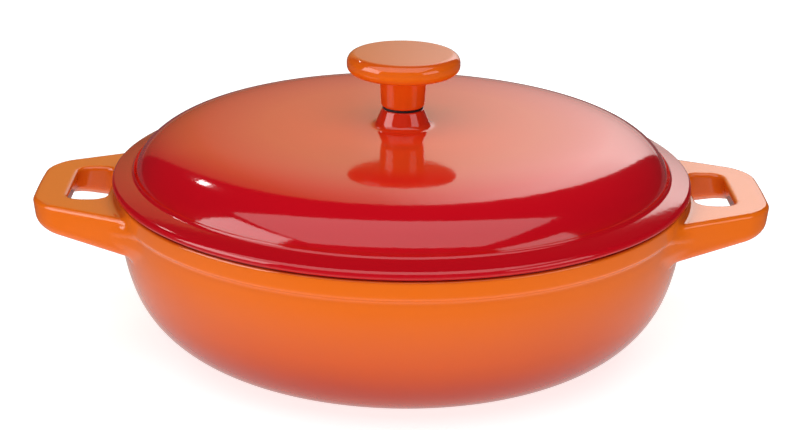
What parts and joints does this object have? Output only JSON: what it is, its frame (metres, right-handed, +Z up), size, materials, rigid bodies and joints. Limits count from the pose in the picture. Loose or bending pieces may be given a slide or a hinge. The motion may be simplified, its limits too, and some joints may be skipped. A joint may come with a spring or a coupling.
{
  "type": "lidded braiser",
  "caption": "Shallow round enamelled cast-iron cooking pot with two integral loop handles and a domed lift-off lid with a screwed-on mushroom knob.",
  "frame": {"origin": "centre of the pot's base, on the surface that it stands on", "axes": "+Z up through the centre of the knob, +X through the middle of one loop handle"},
  "size_m": [0.369, 0.292, 0.1475],
  "materials": {
    "orange_enamel": "gloss",
    "red_enamel": "gloss",
    "black_enamel": "satin",
    "black_rubber": "matte",
    "stainless_steel": "satin"
  },
  "bodies": {
    "pot": {"pot": "orange_enamel", "pot_inner_enamel": "black_enamel"},
    "lid": {"lid": "red_enamel", "lid_inner_enamel": "black_enamel", "knob": "orange_enamel", "knob_gasket": "black_rubber", "knob_screw": "stainless_steel", "lock_washer": "stainless_steel", "flat_washer": "stainless_steel"}
  },
  "joints": [
    {"name": "lid_lift", "type": "slide", "parent": "pot", "child": "lid", "axis": [0, 0, 1], "range_m": [0, 0.12]}
  ]
}
